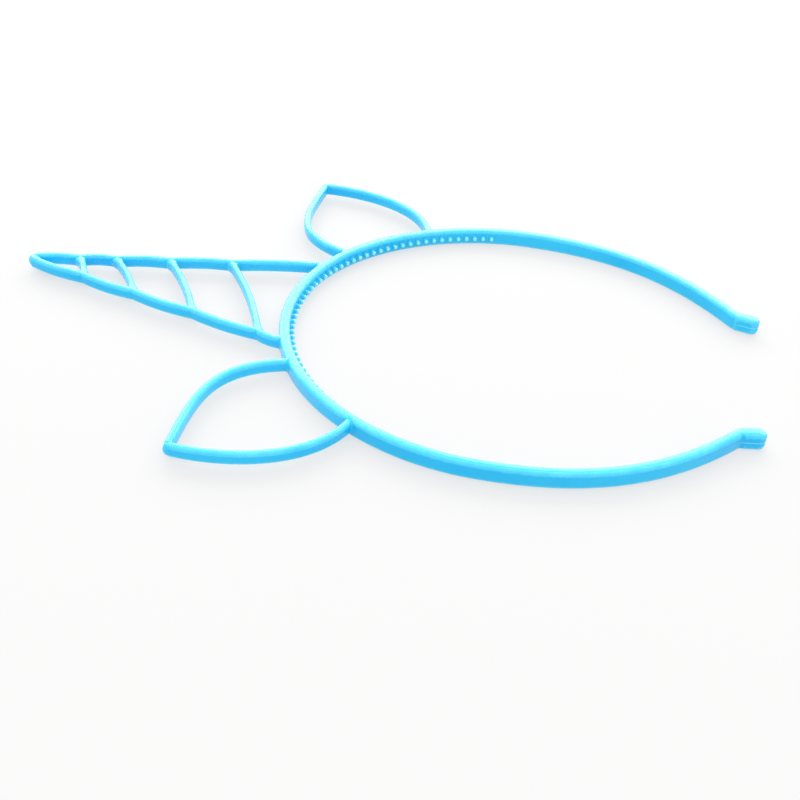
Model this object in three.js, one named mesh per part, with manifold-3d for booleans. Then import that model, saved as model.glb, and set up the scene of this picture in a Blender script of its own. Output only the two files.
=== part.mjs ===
// A unicorn horn headband, moulded in one piece of glossy plastic: a springy band with a comb inside,
// a horn of open lattice at its crown and two leaf-shaped ears.
// It lies flat as it would on a table: +Z is up, the horn points along +Y, and the origin is on the
// underside, below the middle of the box. Lengths are in millimetres and angles in degrees.
import * as THREE from "three";
import { mergeVertices } from "three/addons/utils/BufferGeometryUtils.js";
import Module from "manifold-3d";

const wasm = await Module();
wasm.setup();

// Band: a strip on edge, bent to a horseshoe. Its line runs along the middle of its wall
const bandThickness = 3;
const bandDepth = 4.7;
const bandEdgeRound = 0.7;
const bandWidth = 116.6; // between the two sides of the line where it is widest
const widestDrop = 61.7; // from the crown down to the widest place
const bandHeight = 124; // from the crown down to where the tips flick out
const footGap = 57.8; // between the two sides of the line where the tips flick out
const footLean = 50; // inward lean of the wall there
const bandRoundness = { crown: 0.585, shoulder: 0.51, waist: 0.465, foot: 0.39 }; // handles, as shares

// Arm tips: the ends of the strip flick outwards and are rounded off
const tipRadius = 2.6;
const tipTurn = 38;
const tipLength = 4.3;
const tipEndWidth = 3.4;

// Comb: pegs on the band's inner face, at half its depth
const toothPitch = 2.75;
const toothLength = 1.4;
const toothRootWidth = 1.5;
const toothTipWidth = 0.9;
const combReach = 82.5; // along the band's line, from the crown to the end of the comb on each side

// Horn: two scalloped rods that lean together from the band to a point
const hornLength = 79.2; // from the band's line at the crown to the line of the tip
const hornRoot = 21.2; // along the band's line, from the crown to each rod
const hornRodWidth = 2.2;
const hornRodDepth = 3.5;
const hornTipGap = 1.2; // between the lines of the two rods at the tip
const hornTipWidth = 3; // of the round end that joins them
const scallopRise = 0.8; // how far each scallop bulges outwards

// Crossbars: each joins two knuckles of the rods, given as shares of the horn's length
const crossbarWidth = 2;
const crossbarDepth = 3.3;
const crossbarSag = 1.4; // how far the middle of the longest bar bows towards the band
const crossbars = [
  { left: 0.1, right: 0.325 },
  { left: 0.35, right: 0.535 },
  { left: 0.58, right: 0.72 },
  { left: 0.785, right: 0.845 },
];

// Ears: two rods each, from their roots on the band to a narrow round corner
const earRodWidth = 2.2;
const earRodDepth = 3.5;
const earCornerWidth = 2.4; // of the round corner
const earUpperRoot = 31.6; // along the band's line, from the crown
const earLowerRoot = 60.8;
const earLength = 43; // from the middle between the roots to the corner
const earLean = 0.6; // how far the corner leans away from the horn
// Handles of the rods' curves from the corner to the root: out as a share of the ear's length, and
// across as a share of half the distance between the roots, towards the horn
const upperRod = { nearCorner: { out: 0.667, across: 0.98 }, nearRoot: { out: 0.446, across: 1.73 } };
const lowerRod = { nearCorner: { out: 0.772, across: -0.87 }, nearRoot: { out: 0.38, across: -1.58 } };

const rodDrop = 0.2; // how far the upper sides of the rods lie below the band's
const rodEdgeRound = 0.75;
const bossInset = 0.05; // of a round end's flat faces, below those of the rod that it closes
const stepLength = 4; // between the sections along a curve
const bossSides = 12;
const toothSides = 6;

const radians = THREE.MathUtils.degToRad;
const at = (x, y) => new THREE.Vector2(x, y);

// A closed geometry as a solid that can be joined and cut.
function toSolid(geometry) {
  geometry.deleteAttribute("normal");
  geometry.deleteAttribute("uv");
  const merged = mergeVertices(geometry, 1e-4);
  return new wasm.Manifold(
    new wasm.Mesh({
      numProp: 3,
      vertProperties: merged.attributes.position.array,
      triVerts: new Uint32Array(merged.index.array),
    }),
  );
}

// A cubic curve in the plan, from its ends and handles.
const curve = (...points) => new THREE.CubicBezierCurve(...points);

// The outline of a strip's or rod's section, with its corners cut at 45 degrees by the edge's round.
function section(width, depth, round) {
  const w = width / 2;
  const d = depth / 2;
  const r = Math.min(round, 0.45 * width, 0.45 * depth);
  const corners = [
    [d, w - r],
    [d - r, w],
    [r - d, w],
    [-d, w - r],
    [-d, r - w],
    [r - d, -w],
    [d - r, -w],
    [d, r - w],
  ];
  return corners.map(([x, y]) => at(x, y));
}

// Plan curves end to end, lifted to a height. Each curve is split into its own number of steps. A
// symmetric route starts with its mirror image.
class Route extends THREE.Curve {
  constructor(lines, height, symmetric = false) {
    super();
    this.height = height;
    this.symmetric = symmetric;
    this.stops = lines.flatMap((line) => {
      const count = Math.max(2, Math.ceil(line.getLength() / stepLength));
      return Array.from({ length: count }, (_, i) => ({ line, from: i / count, to: (i + 1) / count }));
    });
  }
  get steps() {
    return this.stops.length * (this.symmetric ? 2 : 1);
  }
  getPoint(t) {
    const signed = this.symmetric ? 2 * t - 1 : t;
    const along = Math.abs(signed) * this.stops.length;
    const i = Math.min(Math.floor(along), this.stops.length - 1);
    const { line, from, to } = this.stops[i];
    const p = line.getPoint(THREE.MathUtils.lerp(from, to, along - i));
    return new THREE.Vector3(signed < 0 ? -p.x : p.x, p.y, this.height);
  }
  getUtoTmapping(u) {
    return u;
  }
}

// A strip or rod of the given section along a route.
function sweep(route, width, depth, round) {
  const shape = new THREE.Shape(section(width, depth, round));
  return toSolid(new THREE.ExtrudeGeometry(shape, { steps: route.steps, extrudePath: route }));
}

// A round boss with a rod's section, which closes the end of a strip or rod at a plan point. It stays
// just inside the flat faces of what it closes.
function boss(point, height, width, depth, round) {
  const rim = section(width, depth - 2 * bossInset, round).filter((p) => p.y > 0);
  const top = depth / 2 - bossInset;
  const outline = [at(0, -top), ...rim.reverse().map((p) => at(p.y, p.x)), at(0, top)];
  const geometry = new THREE.LatheGeometry(outline, bossSides);
  geometry.rotateX(Math.PI / 2);
  geometry.translate(point.x, point.y, height);
  return toSolid(geometry);
}

const joined = (solids) => solids.reduce((sum, solid) => sum.add(solid));

// Heights of the middles of the strips and rods above the table
const bandMiddle = bandDepth / 2;
const hornMiddle = bandDepth - rodDrop - hornRodDepth / 2;
const earMiddle = bandDepth - rodDrop - earRodDepth / 2;

// Band's line on the right: from the crown to the widest place, and on to the foot
const side = bandWidth / 2;
const crown = at(0, 0);
const widest = at(side, -widestDrop);
const foot = at(footGap / 2, -bandHeight);
const lowerDrop = bandHeight - widestDrop;
const footHeading = at(-Math.sin(radians(footLean)), -Math.cos(radians(footLean)));
const upperLine = curve(
  crown,
  at(bandRoundness.crown * side, 0),
  at(side, -widestDrop * (1 - bandRoundness.shoulder)),
  widest,
);
const lowerLine = curve(
  widest,
  at(side, -widestDrop - bandRoundness.waist * lowerDrop),
  foot.clone().addScaledVector(footHeading, -bandRoundness.foot * lowerDrop),
  foot,
);

// The point of the band's line at a distance from the crown, and the direction in which it runs.
function onBand(distance) {
  const length = upperLine.getLength();
  const line = distance <= length ? upperLine : lowerLine;
  const start = line === upperLine ? 0 : length;
  const share = Math.min(1, (distance - start) / line.getLength());
  return { point: line.getPointAt(share), along: line.getTangentAt(share) };
}

// The flicked tip of the right arm: an arc away from the middle, and a short straight pad.
function tipLines() {
  const start = Math.PI - radians(footLean);
  const centre = at(foot.x - tipRadius * Math.cos(start), foot.y - tipRadius * Math.sin(start));
  const bend = new THREE.ArcCurve(centre.x, centre.y, tipRadius, start, start + radians(tipTurn), false);
  const end = bend.getPoint(1);
  const heading = at(-Math.sin(radians(footLean - tipTurn)), -Math.cos(radians(footLean - tipTurn)));
  return [bend, new THREE.LineCurve(end, end.clone().addScaledVector(heading, tipLength))];
}

// The band with its tips, in one sweep from the left end to the right end.
function band() {
  const lines = [upperLine, lowerLine, ...tipLines()];
  const end = lines.at(-1).v2;
  return joined([
    sweep(new Route(lines, bandMiddle, true), bandThickness, bandDepth, bandEdgeRound),
    ...[end, at(-end.x, end.y)].map((p) => boss(p, bandMiddle, tipEndWidth, bandDepth, bandEdgeRound)),
  ]);
}

// A comb tooth: a tapered peg whose root is sunk into the band's inner face.
function tooth(distance) {
  const { point, along } = onBand(distance);
  const inward = at(along.y, -along.x);
  const sunk = bandThickness / 4;
  const length = sunk + toothLength;
  const geometry = new THREE.CylinderGeometry(toothTipWidth / 2, toothRootWidth / 2, length, toothSides);
  geometry.rotateZ(Math.atan2(inward.y, inward.x) - Math.PI / 2);
  const middle = point.clone().addScaledVector(inward, bandThickness / 2 - sunk + length / 2);
  geometry.translate(middle.x, middle.y, bandMiddle);
  return toSolid(geometry);
}

// The comb of one side, from half a pitch beside the crown's middle.
function comb() {
  const count = Math.floor(combReach / toothPitch);
  return joined(Array.from({ length: count }, (_, i) => tooth((i + 0.5) * toothPitch)));
}

// A point on the horn's rod, by its share of the horn's length from the crown.
function onHorn(share, sign) {
  const root = onBand(hornRoot).point;
  const rise = (hornLength - root.y) * share;
  return at(sign * THREE.MathUtils.lerp(root.x, hornTipGap / 2, share), root.y + rise);
}

// A plan curve whose middle bows by a rise to the right of its run. The handles lie 4/3 as far out.
function bowed(a, b, rise) {
  const run = b.clone().sub(a);
  const offset = at(run.y, -run.x).setLength((4 / 3) * rise);
  const handle = (share) => a.clone().addScaledVector(run, share).add(offset);
  return curve(a, handle(1 / 3), handle(2 / 3), b);
}

// One rod of the horn: a scallop between each two knuckles.
function hornRod(sign) {
  const knuckles = crossbars.map((bar) => (sign < 0 ? bar.left : bar.right));
  const stops = [0, ...knuckles, 1];
  const points = stops.map((share) => onHorn(share, sign));
  const scallops = points.slice(1).map((point, i) => bowed(points[i], point, sign * scallopRise));
  return sweep(new Route(scallops, hornMiddle), hornRodWidth, hornRodDepth, rodEdgeRound);
}

// A crossbar: it bows towards the band, the more the longer it is.
function crossbar({ left, right }) {
  const a = onHorn(left, -1);
  const b = onHorn(right, 1);
  const longest = onHorn(crossbars[0].left, -1).distanceTo(onHorn(crossbars[0].right, 1));
  const line = bowed(a, b, crossbarSag * (a.distanceTo(b) / longest));
  return sweep(new Route([line], hornMiddle), crossbarWidth, crossbarDepth, rodEdgeRound);
}

function horn() {
  const tip = at(0, onHorn(1, 1).y);
  return joined([
    ...[-1, 1].map(hornRod),
    ...crossbars.map(crossbar),
    boss(tip, hornMiddle, hornTipWidth, hornRodDepth, rodEdgeRound),
  ]);
}

// The right ear: two curved rods from a round corner to their roots on the band.
function ear() {
  const upper = onBand(earUpperRoot).point;
  const lower = onBand(earLowerRoot).point;
  const middle = upper.clone().add(lower).divideScalar(2);
  const half = upper.distanceTo(lower) / 2;
  const across = upper.clone().sub(middle).normalize();
  const out = at(across.y, -across.x);
  const place = (o, a) => middle.clone().addScaledVector(out, o * earLength).addScaledVector(across, a);
  const corner = place(1, -earLean);
  const rod = ({ nearCorner, nearRoot }, root) => {
    const line = curve(
      corner,
      place(nearCorner.out, nearCorner.across * half),
      place(nearRoot.out, nearRoot.across * half),
      root,
    );
    return sweep(new Route([line], earMiddle), earRodWidth, earRodDepth, rodEdgeRound);
  };
  return joined([
    rod(upperRod, upper),
    rod(lowerRod, lower),
    boss(corner, earMiddle, earCornerWidth, earRodDepth, rodEdgeRound),
  ]);
}

// The whole moulding, with its box centred over the origin.
function headband() {
  const right = joined([comb(), ear()]);
  const whole = joined([band(), right, right.mirror([1, 0, 0]), horn()]);
  const { min, max } = whole.boundingBox();
  return whole.translate([0, -(min[1] + max[1]) / 2, 0]);
}

// A solid as a named mesh with its own glossy plastic.
function piece(name, solid, color) {
  const { numProp, vertProperties, triVerts } = solid.getMesh();
  const geometry = new THREE.BufferGeometry();
  geometry.setAttribute("position", new THREE.BufferAttribute(vertProperties, numProp));
  geometry.setIndex(new THREE.BufferAttribute(triVerts, 1));
  geometry.computeVertexNormals();
  const material = new THREE.MeshStandardMaterial({ color, roughness: 0.2, metalness: 0 });
  const mesh = new THREE.Mesh(geometry, material);
  mesh.name = name;
  return mesh;
}

const group = new THREE.Group();
group.add(piece("headband", headband(), 0x2fc4ee));

export default group;
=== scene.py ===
# %% [markdown]
# A unicorn horn headband. The real thing is one shot of glossy plastic: a springy band with a comb
# inside, a horn of open lattice and two leaf-shaped ears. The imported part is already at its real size, so
# this lesson loads it as a fixed frame and builds a finer skin around it, in the same place and in
# metres.

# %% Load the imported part
import math

import bmesh
import bpy
import numpy as np
from mathutils import Matrix, Vector
from mathutils.bvhtree import BVHTree
from mathutils.geometry import interpolate_bezier
from mathutils.kdtree import KDTree


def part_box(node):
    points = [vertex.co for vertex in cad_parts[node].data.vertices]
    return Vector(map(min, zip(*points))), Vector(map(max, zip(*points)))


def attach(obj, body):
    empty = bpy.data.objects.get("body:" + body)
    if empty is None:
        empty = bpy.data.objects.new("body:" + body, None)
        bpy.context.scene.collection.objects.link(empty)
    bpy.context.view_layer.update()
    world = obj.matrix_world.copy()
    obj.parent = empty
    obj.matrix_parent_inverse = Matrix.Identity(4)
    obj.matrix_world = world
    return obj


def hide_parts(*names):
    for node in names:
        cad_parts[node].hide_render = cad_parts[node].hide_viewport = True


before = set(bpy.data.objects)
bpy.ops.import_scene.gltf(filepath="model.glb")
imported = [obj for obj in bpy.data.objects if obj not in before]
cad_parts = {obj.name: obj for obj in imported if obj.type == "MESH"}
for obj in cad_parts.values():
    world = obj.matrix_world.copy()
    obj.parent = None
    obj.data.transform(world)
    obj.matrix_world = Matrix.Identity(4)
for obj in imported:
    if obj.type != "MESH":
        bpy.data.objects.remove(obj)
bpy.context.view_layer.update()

MM = 0.001
cad_low, cad_high = (Vector(corner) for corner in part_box("headband"))
cad_size = [round(side / MM, 1) for side in cad_high - cad_low]
print("The packed headband measures", cad_size, "mm")

# %% [markdown]
# The camera comes first. A picture of a flat, symmetric thing tells where it was taken from: the two arms
# and the two ears have to mirror each other. That gives a viewpoint from the left, a little more than a
# third of the way up to overhead. A camera could be placed by hand and turned until it looks right. Here
# it is built from three turns and a distance, because those are the numbers that such a fit gives.

# %% Camera
scene = bpy.context.scene
picture_side = 800  # pixels
focal_length = 1150  # in the same pixels
aim = Vector((-39.1, -14.4, 4.3)) * MM
distance = 290.6 * MM
azimuth = math.radians(-80.0)
elevation = math.radians(36.7)
roll = math.radians(3.75)

camera = bpy.data.objects.new("camera", bpy.data.cameras.new("camera"))
scene.collection.objects.link(camera)
camera.data.sensor_width = 36
camera.data.lens = camera.data.sensor_width * focal_length / picture_side
camera.data.clip_start = 10 * MM
facing = Matrix.Rotation(azimuth, 4, "Z") @ Matrix.Rotation(math.pi / 2 - elevation, 4, "X")
camera.matrix_world = (
    Matrix.Translation(aim) @ facing @ Matrix.Rotation(roll, 4, "Z") @ Matrix.Translation((0, 0, distance))
)
scene.camera = camera
print("The camera stands", round(camera.matrix_world.translation.z / MM), "mm above the table")

# %% [markdown]
# These are the sizes of the moulding, in millimetres. Everything is drawn in plan first: the band's line
# is the middle of its wall, with its crown at zero and the horn pointing along +Y. Cubic curves suit it,
# because each one needs only its ends and two handles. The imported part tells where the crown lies, so
# nothing has to be lined up by eye.

# %% Sizes of the band
band_thickness = 3.0
band_depth = 4.7
band_round = 0.85
half_width = 116.6 / 2
widest_drop = 61.7  # from the crown down to the widest place
band_height = 124  # from the crown down to the feet
half_foot_gap = 57.8 / 2
foot_lean = math.radians(50)  # inwards from straight down
tip_radius = 2.6  # of the arc that flicks the end outwards
tip_turn = math.radians(38)
tip_length = 6.0
tip_width = 4.0

horn_length = 79.2
horn_tip_round = 1.5
crown_y = cad_high.y / MM - horn_length - horn_tip_round
print("The crown lies at y =", round(crown_y, 2), "mm")


def plan(x, y):
    """A point of the plan."""
    return Vector((x, y, 0))


def cubic(a, handle_a, handle_b, b, count=160):
    """Points along a cubic curve from its ends and handles."""
    return interpolate_bezier(a, handle_a, handle_b, b, count)


def evenly(points, spacing):
    """The same line with points an even distance apart."""
    lengths = [0.0]
    for a, b in zip(points, points[1:]):
        lengths.append(lengths[-1] + (b - a).length)
    steps = max(2, round(lengths[-1] / spacing))
    result, i = [], 0
    for step in range(steps + 1):
        reach = lengths[-1] * step / steps
        while i < len(lengths) - 2 and lengths[i + 1] < reach:
            i += 1
        share = (reach - lengths[i]) / max(lengths[i + 1] - lengths[i], 1e-9)
        result.append(points[i].lerp(points[i + 1], min(1.0, share)))
    return result


# %% [markdown]
# The band is a horseshoe. Each side is two curves, from the crown to the widest place and on down to the
# foot, and then the end flicks outwards in a short arc so that it doesn't dig into the wearer. One side
# is worked out and the other is its mirror image.

# %% Line of the band
band_step = 1.0  # between two points of the line
crown_handle = 0.585  # the handles are shares of the width or the height that their curve spans
shoulder_handle = 0.49
waist_handle = 0.465
foot_handle = 0.39

foot = plan(half_foot_gap, -band_height)
foot_heading = Vector((-math.sin(foot_lean), -math.cos(foot_lean), 0))
widest = plan(half_width, -widest_drop)
lower_drop = band_height - widest_drop
shoulder = cubic(
    plan(0, 0),
    plan(crown_handle * half_width, 0),
    plan(half_width, -shoulder_handle * widest_drop),
    widest,
)
waist = cubic(
    widest,
    plan(half_width, -widest_drop - waist_handle * lower_drop),
    foot - foot_heading * foot_handle * lower_drop,
    foot,
)


def flicked_tip(steps=12):
    """The arc and the straight pad that end the right arm, from the foot on."""
    points, here = [], foot
    for step in range(steps):
        lean = foot_lean - tip_turn * (step + 0.5) / steps
        here = here + Vector((-math.sin(lean), -math.cos(lean), 0)) * (tip_radius * tip_turn / steps)
        points.append(here)
    lean = foot_lean - tip_turn
    points.append(here + Vector((-math.sin(lean), -math.cos(lean), 0)) * tip_length)
    return points


def mirrored(points):
    """The mirror image of a line, on the other side of the headband."""
    return [Vector((-p.x, p.y, p.z)) for p in points]


right_side = evenly(shoulder + waist[1:] + flicked_tip(), band_step)
band_line = mirrored(right_side)[::-1] + right_side[1:]
side_length = sum((b - a).length for a, b in zip(right_side, right_side[1:]))
print("Each side of the band is", round(side_length), "mm long")


def on_band(reach):
    """The point of the band's right side at a distance from the crown, and the way the band runs there."""
    place = reach / side_length * (len(right_side) - 1)
    i = min(int(place), len(right_side) - 2)
    along = (right_side[i + 1] - right_side[i]).normalized()
    return right_side[i].lerp(right_side[i + 1], place - i), along


# %% [markdown]
# Every rod and strip is a section swept along a line. A curve object with a bevel would do that too, but
# here each sweep has to swell or thin out along its way, so a bmesh does it: a rectangle gets round
# corners from a vertex bevel, its rim is extruded step by step, and each new rim is moved, turned and
# scaled into place.

# %% A section swept along a line
CORNER_SEGMENTS = 8
LEAST_SCALE = 0.12  # of the last rim of a round end, which still has to have an area


def rounded_rim(bm, width, depth, radius):
    """The rim of a rounded rectangle, standing across the Y axis."""
    grid = bmesh.ops.create_grid(bm, x_segments=1, y_segments=1, size=0.5)
    bmesh.ops.scale(bm, vec=(width, depth, 1), verts=grid["verts"])
    bevelled = bmesh.ops.bevel(
        bm,
        geom=grid["verts"],
        offset=radius,
        segments=CORNER_SEGMENTS,
        profile=0.5,
        affect="VERTICES",
        material=-1,
    )
    face = next(f for f in bm.faces if f.verts[0] in set(bevelled["verts"]))
    rim = list(face.edges)
    verts = list(face.verts)
    bmesh.ops.delete(bm, geom=[face], context="FACES_ONLY")
    bmesh.ops.rotate(bm, verts=verts, cent=(0, 0, 0), matrix=Matrix.Rotation(math.pi / 2, 3, "X"))
    return rim, verts


def placing(points, i, height, swell):
    """The matrix that sets a rim at point i of a line, across it, with its width and depth swelled."""
    before, after = points[max(i - 1, 0)], points[min(i + 1, len(points) - 1)]
    along = (after - before).normalized()
    across = Vector((along.y, -along.x, 0))
    turn = Matrix((across, along, Vector((0, 0, 1)))).transposed().to_4x4()
    place = points[i] + Vector((0, 0, height))
    return Matrix.Translation(place) @ turn @ Matrix.Diagonal((swell[0], 1, swell[1], 1))


def sweep(bm, points, height, width, depth, radius, swell=lambda start, end: (1, 1)):
    """Adds a closed rod along the points, with its middle at a height. swell gives the scale of its width
    and depth at a place, from that place's distances to the start and to the end."""
    rim, verts = rounded_rim(bm, width, depth, radius)
    total = sum((b - a).length for a, b in zip(points, points[1:]))
    reach, last = 0.0, Matrix.Identity(4)
    for i, point in enumerate(points):
        if i:
            reach += (point - points[i - 1]).length
            grown = bmesh.ops.extrude_edge_only(bm, edges=rim)["geom"]
            rim = [e for e in grown if isinstance(e, bmesh.types.BMEdge) and e.is_boundary]
            verts = [v for v in grown if isinstance(v, bmesh.types.BMVert)]
        here = placing(points, i, height, swell(reach, max(0.0, total - reach)))
        bmesh.ops.transform(bm, matrix=here @ last.inverted(), verts=verts)
        last = here
    open_rims = [e for e in bm.edges if e.is_boundary]
    bmesh.ops.holes_fill(bm, edges=open_rims, sides=0)


def rounded_off(distance, radius):
    """The scale near a rod's end that rounds it off with a radius, and 1 further in."""
    inside = min(1.0, distance / radius)
    return max(LEAST_SCALE, math.sqrt(1 - (1 - inside) ** 2))


def finer_ends(points, length, spacing):
    """The line with points a finer distance apart over a length at each end."""
    head = [p for p in points if (p - points[0]).length <= length]
    tail = [p for p in points if (p - points[-1]).length <= length]
    middle = points[len(head) : len(points) - len(tail)]
    return evenly(head, spacing) + middle + evenly(tail, spacing)


# %% [markdown]
# The band is one long sweep. Towards its ends it grows a little thicker, into the pads that press behind
# the wearer's ears. The last few rims shrink along a quarter circle, much in width and less in depth,
# which rounds each end off without adding another shape.

# %% Band
pad_ramp = 1.0  # the length over which the band thickens into a pad
end_roundness = 0.4  # the most of its depth that a round end may lose, as a share
fine_length = 10  # at each end, where the rims stand closer together
fine_step = 0.2
moulding = bmesh.new()


def band_swell(start, end):
    """Thicker over the pads, then rounded off."""
    distance = min(start, end)
    onset = min(1.0, max(0.0, (tip_length + pad_ramp - distance) / pad_ramp))
    thicker = 1 + (tip_width / band_thickness - 1) * onset * onset * (3 - 2 * onset)
    scale = rounded_off(distance, tip_width / 2)
    return thicker * scale, 1 - end_roundness + end_roundness * scale


band_points = finer_ends(band_line, fine_length, fine_step)
sweep(moulding, band_points, band_depth / 2, band_thickness, band_depth, band_round, band_swell)
print("Band:", len(moulding.faces), "faces")

# %% [markdown]
# The horn is two rods that lean together. Between two knuckles a rod bulges outwards, and at each knuckle
# a crossbar leaves it, so the outline reads as a spiral. Where plastic rods meet in a mould the corners
# are filled in a little, and so each crossbar flares at both ends.

# %% Horn
horn_root = 21.2
horn_rod_width = 2.2
horn_rod_depth = 3.5
rod_drop = 0.15  # of the rods' upper sides below the band's
horn_middle = band_depth - rod_drop - horn_rod_depth / 2
rod_round = 0.85
rod_step = 0.8  # between two points of a rod's line
horn_tip_gap = 1.2
horn_tip_depth = 0.97 * horn_rod_depth
scallop_rise = 0.85
crossbar_width = 2.0
crossbar_depth = 3.3
crossbar_sag = 1.4  # of the longest one
crossbar_step = 0.7
flare = 0.6  # of the crossbars' width, at both ends
flare_length = 1.9
# The left and right ends of each crossbar, as shares of the way from the band to the tip
crossbars = [(0.1, 0.325), (0.35, 0.535), (0.58, 0.72), (0.785, 0.845)]
root_point, _ = on_band(horn_root)


def on_horn(share, side):
    """A point on a rod of the horn, by its share of the way from the band to the tip."""
    x = root_point.x + (horn_tip_gap / 2 - root_point.x) * share
    return plan(side * x, root_point.y + (horn_length - root_point.y) * share)


def bowed(a, b, rise, count=40):
    """A curve from a to b whose middle bows by a rise to the right of its run. Its handles stand
    out a third further."""
    run = b - a
    offset = Vector((run.y, -run.x, 0)).normalized() * (rise * 4 / 3)
    return cubic(a, a.lerp(b, 1 / 3) + offset, a.lerp(b, 2 / 3) + offset, b, count)


def flared(amount, length):
    """A swell for sweep: wider towards both ends by an amount that dies away over a length."""

    def swell(start, end):
        return 1 + amount * math.exp(-((min(start, end) / length) ** 2)), 1

    return swell


for side in (-1, 1):
    knuckles = [bar[0] if side < 0 else bar[1] for bar in crossbars]
    stops = [on_horn(share, side) for share in (0, *knuckles, 1)]
    rod = [stops[0]]
    for a, b in zip(stops, stops[1:]):
        rod += bowed(a, b, side * scallop_rise)[1:]
    sweep(moulding, evenly(rod, rod_step), horn_middle, horn_rod_width, horn_rod_depth, rod_round)

longest = (on_horn(crossbars[0][1], 1) - on_horn(crossbars[0][0], -1)).length
for left, right in crossbars:
    a, b = on_horn(left, -1), on_horn(right, 1)
    line = evenly(bowed(a, b, crossbar_sag * (b - a).length / longest), crossbar_step)
    widening = flared(flare, flare_length)
    sweep(moulding, line, horn_middle, crossbar_width, crossbar_depth, rod_round, widening)


def round_end(point, height, radius, depth):
    """A stretched ball that closes a rod's end or corner."""
    ball = bmesh.ops.create_uvsphere(moulding, u_segments=24, v_segments=12, radius=radius)["verts"]
    bmesh.ops.scale(moulding, vec=(1, 1, depth / 2 / radius), verts=ball)
    bmesh.ops.translate(moulding, vec=point + Vector((0, 0, height)), verts=ball)


round_end(plan(0, horn_length), horn_middle, horn_tip_round, horn_tip_depth)
print("Band and horn:", len(moulding.faces), "faces")

# %% [markdown]
# Each ear is a leaf: two rods that leave the band, bow apart and meet in a corner. The corner is drawn
# from the middle between the two roots, out and across, so the ear keeps its shape when a root moves
# along the band. The handles of the curves are shares of the ear's own length and width.

# %% Ears
ear_rod_width = 2.2
ear_rod_depth = 3.5
ear_corner_round = ear_rod_width / 2 + 0.1
ear_middle_height = band_depth - rod_drop - ear_rod_depth / 2
upper_root, _ = on_band(31.6)
lower_root, _ = on_band(60.8)
ear_length = 43
ear_lean = 0.6
# Each handle is a share of the ear's length and a share of half the spread of its roots
upper_handles = ((0.667, 0.98), (0.446, 1.73))
lower_handles = ((0.772, -0.87), (0.38, -1.58))
ear_middle = (upper_root + lower_root) / 2
half_spread = (upper_root - lower_root).length / 2
across = (upper_root - ear_middle).normalized()
out = Vector((across.y, -across.x, 0))
corner = ear_middle + out * ear_length - across * ear_lean


def ear_rod(handles, root):
    """The line of one rod of the right ear, from the corner to its root on the band."""
    near_corner, near_root = (
        ear_middle + out * (o * ear_length) + across * (a * half_spread) for o, a in handles
    )
    return evenly(cubic(corner, near_corner, near_root, root), rod_step)


for handles, root in ((upper_handles, upper_root), (lower_handles, lower_root)):
    line = ear_rod(handles, root)
    for points in (line, mirrored(line)):
        sweep(moulding, points, ear_middle_height, ear_rod_width, ear_rod_depth, rod_round)
for point in (corner, *mirrored([corner])):
    round_end(point, ear_middle_height, ear_corner_round, ear_rod_depth)
print("With ears:", len(moulding.faces), "faces")

# %% [markdown]
# So far the rods only pass through each other. The real thing is one body, with soft fillets where rods
# meet. A voxel remesh pours one skin over all of them, and smoothing it rounds the creases into fillets.
# Smoothing also makes a thin rod thinner and leaves faint ripples, so the skin is then laid back on the
# sections it was poured over, as a Shrinkwrap modifier would do. Only the fillets, which stand proud of
# the sections, stay as they are.

# %% One fused skin
VOXEL = 0.37 * MM
SMOOTHING_ROUNDS = 8
FILLET_START = 0.08 * MM  # how far out from the sections a fillet begins


def to_object(bm, name):
    """A mesh object from a bmesh in millimetres, in its place in the part."""
    bmesh.ops.translate(bm, vec=(0, crown_y, 0), verts=bm.verts)
    bmesh.ops.scale(bm, vec=(MM, MM, MM), verts=bm.verts)
    bmesh.ops.recalc_face_normals(bm, faces=bm.faces)
    mesh = bpy.data.meshes.new(name)
    bm.to_mesh(mesh)
    bm.free()
    made = bpy.data.objects.new(name, mesh)
    scene.collection.objects.link(made)
    return made


def apply_modifiers(thing):
    """Replaces an object's mesh by what its modifiers make of it."""
    evaluated = thing.evaluated_get(bpy.context.evaluated_depsgraph_get())
    mesh = bpy.data.meshes.new_from_object(evaluated)
    thing.modifiers.clear()
    thing.data = mesh


def smoothed(bm, rounds):
    """Moves each point halfway to the mean of its neighbours, again and again."""
    for _ in range(rounds):
        bmesh.ops.smooth_vert(
            bm, verts=bm.verts, factor=0.5, use_axis_x=True, use_axis_y=True, use_axis_z=True
        )


def laid_back(point, surface):
    """The point on the surface that is nearest, or the point itself where it stands proud in a fillet."""
    spot, normal, _, _ = surface.find_nearest(point)
    proud = (point - spot).dot(normal)
    return point.lerp(spot, min(1.0, max(0.0, 1 - proud / FILLET_START)))


headband = to_object(moulding, "headband_skin")
sections = BVHTree.FromObject(headband, bpy.context.evaluated_depsgraph_get())
remesh = headband.modifiers.new("fuse", "REMESH")
remesh.mode = "VOXEL"
remesh.voxel_size = VOXEL
apply_modifiers(headband)

skin = bmesh.new()
skin.from_mesh(headband.data)
smoothed(skin, SMOOTHING_ROUNDS)
for vert in skin.verts:
    vert.co = laid_back(vert.co, sections)
smoothed(skin, 1)
skin.to_mesh(headband.data)
skin.free()
print("Fused skin:", len(headband.data.polygons), "faces")

# %% [markdown]
# The comb is a row of little pegs along the inside of the band, each a cone with a rounded tip. They are
# added after the smoothing, which would wear such small things away, and joined to the skin by a boolean
# union, so the whole moulding stays one closed body.

# %% Comb
tooth_pitch = 2.75
tooth_length = 1.4
tooth_sunk = 0.8
tooth_root_radius = 0.75
tooth_tip_radius = 0.6
tooth_tip_round = 0.45
comb_reach = 82.5


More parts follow.
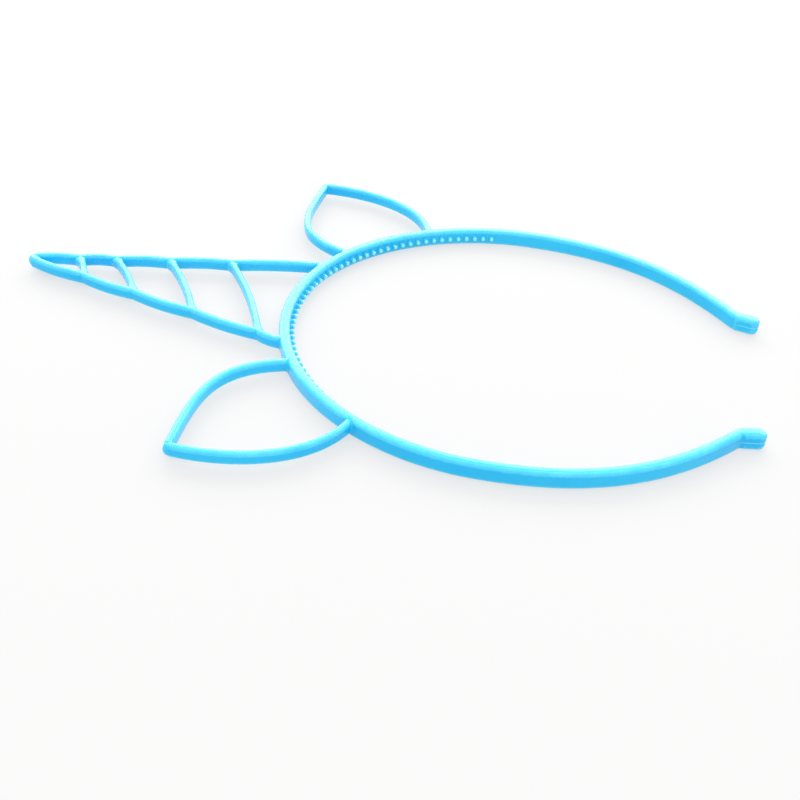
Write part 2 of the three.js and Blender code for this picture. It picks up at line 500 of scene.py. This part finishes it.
def add_tooth(bm, point, inward):
    """A tapered peg with a round tip on the band's inner face."""
    length = tooth_sunk + tooth_length
    cone = bmesh.ops.create_cone(
        bm,
        cap_ends=True,
        segments=12,
        radius1=tooth_root_radius,
        radius2=tooth_tip_radius,
        depth=length,
    )["verts"]
    tip = [v for v in cone if v.co.z > 0]
    rim = {e for v in tip for e in v.link_edges if all(end in tip for end in e.verts)}
    bevelled = bmesh.ops.bevel(
        bm, geom=list(rim), offset=tooth_tip_round, segments=4, profile=0.5, affect="EDGES", material=-1
    )
    verts = list({v for v in cone if v.is_valid} | set(bevelled["verts"]))
    turn = inward.to_track_quat("Z", "Y").to_matrix().to_4x4()
    start = point + inward * (band_thickness / 2 - tooth_sunk + length / 2)
    bmesh.ops.transform(bm, matrix=Matrix.Translation(start) @ turn, verts=verts)


pegs = bmesh.new()
comb_tips = []
for i in range(int(comb_reach / tooth_pitch)):
    point, along = on_band((i + 0.5) * tooth_pitch)
    inward = Vector((along.y, -along.x, 0))
    for side in (-1, 1):
        place = Vector((side * point.x, point.y, band_depth / 2))
        heading = Vector((side * inward.x, inward.y, 0))
        add_tooth(pegs, place, heading)
        comb_tips.append(place + heading * (band_thickness / 2 + tooth_length))
comb = to_object(pegs, "comb_pegs")
union = headband.modifiers.new("comb", "BOOLEAN")
union.operation = "UNION"
union.solver = "MANIFOLD"
union.object = comb
apply_modifiers(headband)
bpy.data.objects.remove(comb)
for polygon in headband.data.polygons:
    polygon.use_smooth = True
print("With comb:", len(headband.data.polygons), "faces")

# %% [markdown]
# Wear shows first where a thing sticks out. To know those places, each point of the skin is compared with
# the mean of its neighbours: on an edge it lies further out than they do, and in a corner further in.
# The comb's round tips get a painted highlight, so a second measure tells how near each point is to the tip
# of a tooth. Both are kept as attributes of the mesh, which a material can read, so they travel with the
# piece.

# %% Edges and corners of the skin
BULGE_FULL = 0.06 * MM  # how far out a point of a sharp edge lies
COMB_FADE = 1.5 * MM  # how far from a tooth's tip its share falls to nothing


def bulge_of(mesh, rounds=3):
    """How far each vertex lies outside its neighbours' mean, from -1 in a corner to 1 on an edge."""
    count = len(mesh.vertices)
    positions = np.empty(count * 3)
    mesh.vertices.foreach_get("co", positions)
    positions = positions.reshape(-1, 3)
    normals = np.empty(count * 3)
    mesh.vertices.foreach_get("normal", normals)
    normals = normals.reshape(-1, 3)
    ends = np.empty(len(mesh.edges) * 2, int)
    mesh.edges.foreach_get("vertices", ends)
    a, b = ends.reshape(-1, 2).T
    links = np.bincount(ends, minlength=count)[:, None]
    mean = positions.copy()
    for _ in range(rounds):
        sums = [np.bincount(a, mean[b, i], count) + np.bincount(b, mean[a, i], count) for i in range(3)]
        mean = np.stack(sums, 1) / links
    return np.clip(((positions - mean) * normals).sum(1) / BULGE_FULL, -1, 1)


bulge = bulge_of(headband.data)
kept = headband.data.attributes.new("bulge", "FLOAT", "POINT")
kept.data.foreach_set("value", bulge.astype(np.float32))
print("Bulge: from", round(float(bulge.min()), 2), "to", round(float(bulge.max()), 2))

# How near each point is to a tooth's tip, where the comb gets its painted highlight
tips = KDTree(len(comb_tips))
for i, tip in enumerate(comb_tips):
    tips.insert((tip + Vector((0, crown_y, 0))) * MM, i)
tips.balance()
from_tip = [tips.find(vertex.co)[2] for vertex in headband.data.vertices]
comb_tip_highlight = np.clip(1 - np.array(from_tip) / COMB_FADE, 0, 1)
kept = headband.data.attributes.new("comb", "FLOAT", "POINT")
kept.data.foreach_set("value", comb_tip_highlight.astype(np.float32))
print("Vertices near a tooth's tip:", int((comb_tip_highlight > 0).sum()))

# %% [markdown]
# The plastic is candy sky blue with a high gloss. Light sinks a little way into it, which keeps its
# shaded sides bright and saturated, so the shader gets some subsurface scattering. Moulded plastic is
# never quite even: the colour drifts a little, it is paler where it has rubbed, and the gloss is faintly
# mottled where the mould was. The tips of the comb are painted paler, as a painted highlight on their
# round ends. A hairline ridge runs round the pads, at half their depth, where the two halves of the mould
# met, and a painted highlight in the same pale blue runs along it.

# %% Glossy moulded plastic
plastic_blue = (0.002, 0.49, 0.86, 1)
plastic_light = (0.015, 0.55, 0.89, 1)
plastic_rubbed = (0.12, 0.70, 0.94, 1)
# The pale blue of the painted highlights on the comb's tips and on the pads' hairline
painted_highlight_blue = (0.28, 0.80, 0.95, 1)
patches_scale, drift_scale, mottle_scale, peel_scale = 180, 25, 420, 500  # blobs per metre
gloss_roughness = (0.15, 0.22)
rubbed_roughness = 0.15  # added where it is rubbed
seam_core, seam_edge = 0.05 * MM, 0.2 * MM  # half the width of the hairline, and of its soft border
# The hairline's share of the painted highlight's pale blue, which also scales the height of its ridge
seam_share = 0.6  # of the pale colour in the hairline
seam_height = 0.02  # heights are in millimetres
peel_height = 0.005
pads_drop = band_height + 1  # from the crown down to where the pads begin
pads_fade = 1


def shader_material(name):
    """A new material, with its node tree, its Principled shader and its Object coordinates."""
    material = bpy.data.materials.new(name)
    material.use_nodes = True
    tree = material.node_tree
    shader = tree.nodes["Principled BSDF"]
    coordinates = tree.nodes.new("ShaderNodeTexCoord").outputs["Object"]
    return material, tree, shader, coordinates


def noise(tree, coordinates, scale, detail=2.0):
    """Smooth noise over the surface. The scale counts its blobs per metre."""
    node = tree.nodes.new("ShaderNodeTexNoise")
    node.inputs["Scale"].default_value = scale
    node.inputs["Detail"].default_value = detail
    tree.links.new(coordinates, node.inputs["Vector"])
    return node.outputs["Fac"]


def remap(tree, value, low, high, to_low, to_high):
    """The value with the range from low to high stretched to another range, smoothly."""
    node = tree.nodes.new("ShaderNodeMapRange")
    node.interpolation_type = "SMOOTHSTEP"
    for socket, number in zip(node.inputs[1:5], (low, high, to_low, to_high)):
        socket.default_value = number
    tree.links.new(value, node.inputs["Value"])
    return node.outputs["Result"]


def blend_colours(tree, share, first, second):
    """A colour between two, which are each a colour or an output."""
    node = tree.nodes.new("ShaderNodeMix")
    node.data_type = "RGBA"
    tree.links.new(share, node.inputs[0])
    for socket, colour in zip(node.inputs[6:8], (first, second)):
        if isinstance(colour, tuple):
            socket.default_value = colour
        else:
            tree.links.new(colour, socket)
    return node.outputs[2]


def calculate(tree, operation, first, second):
    """A sum or product of two values, which are each a number or an output."""
    node = tree.nodes.new("ShaderNodeMath")
    node.operation = operation
    for socket, value in zip(node.inputs, (first, second)):
        if isinstance(value, (int, float)):
            socket.default_value = value
        else:
            tree.links.new(value, socket)
    return node.outputs[0]


plastic, tree, shader, coordinates = shader_material("glossy_blue_plastic")
shader.inputs["IOR"].default_value = 1.42
shader.inputs["Subsurface Weight"].default_value = 0.3
shader.inputs["Subsurface Radius"].default_value = (0.3, 0.8, 1.0)
shader.inputs["Subsurface Scale"].default_value = 1.2 * MM
shader.inputs["Coat Weight"].default_value = 0.2
shader.inputs["Coat Roughness"].default_value = 0.06

bulge_node = tree.nodes.new("ShaderNodeAttribute")
bulge_node.attribute_name = "bulge"
patches = noise(tree, coordinates, patches_scale, detail=4)
edges = remap(tree, bulge_node.outputs["Fac"], 0.35, 1.0, 0, 1)
rubbed = calculate(tree, "MULTIPLY", edges, patches)

drift = remap(tree, noise(tree, coordinates, drift_scale), 0.35, 0.65, 0, 1)
body = blend_colours(tree, drift, plastic_blue, plastic_light)
worn = blend_colours(tree, rubbed, body, plastic_rubbed)
# Painted highlight: the tips of the comb are blended towards the pale blue
comb_node = tree.nodes.new("ShaderNodeAttribute")
comb_node.attribute_name = "comb"
comb_highlight_share = remap(tree, comb_node.outputs["Fac"], 0.25, 0.75, 0, 0.9)
combed = blend_colours(tree, comb_highlight_share, worn, painted_highlight_blue)

# Painted highlight: a pale line along the seam at half the pads' depth, which also raises a low ridge
# through the bump
place = tree.nodes.new("ShaderNodeSeparateXYZ")
tree.links.new(coordinates, place.inputs[0])
middle = band_depth / 2 * MM
from_middle = calculate(tree, "ABSOLUTE", calculate(tree, "SUBTRACT", place.outputs["Z"], middle), 0)
seam = remap(tree, from_middle, seam_core, seam_edge, 1, 0)
pads_end = (crown_y - pads_drop - pads_fade) * MM
pads_start = (crown_y - pads_drop + pads_fade) * MM
at_pads = remap(tree, place.outputs["Y"], pads_end, pads_start, seam_share, 0)
seam_ridge_and_highlight = calculate(tree, "MULTIPLY", seam, at_pads)
tree.links.new(blend_colours(tree, seam_ridge_and_highlight, combed, painted_highlight_blue), shader.inputs["Base Color"])

mottle = remap(tree, noise(tree, coordinates, mottle_scale, detail=3), 0.3, 0.7, *gloss_roughness)
duller = calculate(tree, "MULTIPLY", rubbed, rubbed_roughness)
tree.links.new(calculate(tree, "ADD", mottle, duller), shader.inputs["Roughness"])

peel = calculate(tree, "MULTIPLY", noise(tree, coordinates, peel_scale, detail=1), peel_height)
relief = calculate(tree, "ADD", calculate(tree, "MULTIPLY", seam_ridge_and_highlight, seam_height), peel)
bump = tree.nodes.new("ShaderNodeBump")
bump.inputs["Strength"].default_value = 1.0
bump.inputs["Distance"].default_value = 1 * MM
tree.links.new(relief, bump.inputs["Height"])
tree.links.new(bump.outputs["Normal"], shader.inputs["Normal"])
headband.data.materials.clear()
headband.data.materials.append(plastic)
print("Plastic:", len(tree.nodes), "nodes")

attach(headband, "root")
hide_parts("headband")

# %% [markdown]
# The headband lies on a white table in a bright, airy studio. The flat tops of the plastic are much paler
# than its sides, because they mirror a lamp: a camera that looks down at some angle sees, in a flat top,
# what stands at the same angle on the far side. So one wide panel goes there. The rest comes from a white
# sky that brightens upwards, which keeps the upper edges bright and lets the undersides go deeper. The
# table glows a little, as a light table does: that keeps it white while the shadows stay faint. The plain
# view transform lets white be white.

# %% Table and light
table_half = 3.0  # metres
table_glow = 0.62
sky_start = 0.2  # the sine of the height from which the sky brightens
sky_low, sky_high = 0.9, 1.6

table_mesh = bmesh.new()
bmesh.ops.create_grid(table_mesh, x_segments=1, y_segments=1, size=table_half)
table_data = bpy.data.meshes.new("table")
table_mesh.to_mesh(table_data)
table_mesh.free()
table = bpy.data.objects.new("table", table_data)
scene.collection.objects.link(table)
paper, tree, shader, coordinates = shader_material("white_table")
shader.inputs["Base Color"].default_value = (0.2, 0.199, 0.199, 1)
shader.inputs["Roughness"].default_value = 0.6
shader.inputs["Specular IOR Level"].default_value = 0.05
shader.inputs["Emission Color"].default_value = (1, 0.998, 0.998, 1)
shader.inputs["Emission Strength"].default_value = table_glow
table.data.materials.append(paper)

world = bpy.data.worlds.new("bright_studio")
scene.world = world
world.use_nodes = True
sky = world.node_tree.nodes["Background"]
sky.inputs["Color"].default_value = (1, 0.995, 0.99, 1)
direction = world.node_tree.nodes.new("ShaderNodeTexCoord")
upward = world.node_tree.nodes.new("ShaderNodeSeparateXYZ")
world.node_tree.links.new(direction.outputs["Generated"], upward.inputs[0])
brightness = remap(world.node_tree, upward.outputs["Z"], sky_start, 1, sky_low, sky_high)
world.node_tree.links.new(brightness, sky.inputs["Strength"])


def softbox(name, bearing, height, distance, width, tall, radiance):
    """A rectangular lamp that faces the headband, from a bearing and a height in degrees."""
    light = bpy.data.lights.new(name, "AREA")
    light.shape = "RECTANGLE"
    light.size = width
    light.size_y = tall
    light.energy = radiance * math.pi * width * tall
    lamp = bpy.data.objects.new(name, light)
    b, h = math.radians(bearing), math.radians(height)
    place = Vector((math.cos(h) * math.sin(b), math.cos(h) * math.cos(b), math.sin(h))) * distance
    lamp.location = place
    lamp.rotation_mode = "QUATERNION"
    lamp.rotation_quaternion = (-place).to_track_quat("-Z", "Y")
    lamp.visible_camera = False
    scene.collection.objects.link(lamp)


softbox("far_panel", bearing=80, height=27.25, distance=2.6, width=4.7, tall=1.37, radiance=4.4)
scene.view_settings.view_transform = "Standard"
print("One panel, and a sky that brightens upwards from", sky_low, "to", sky_high)
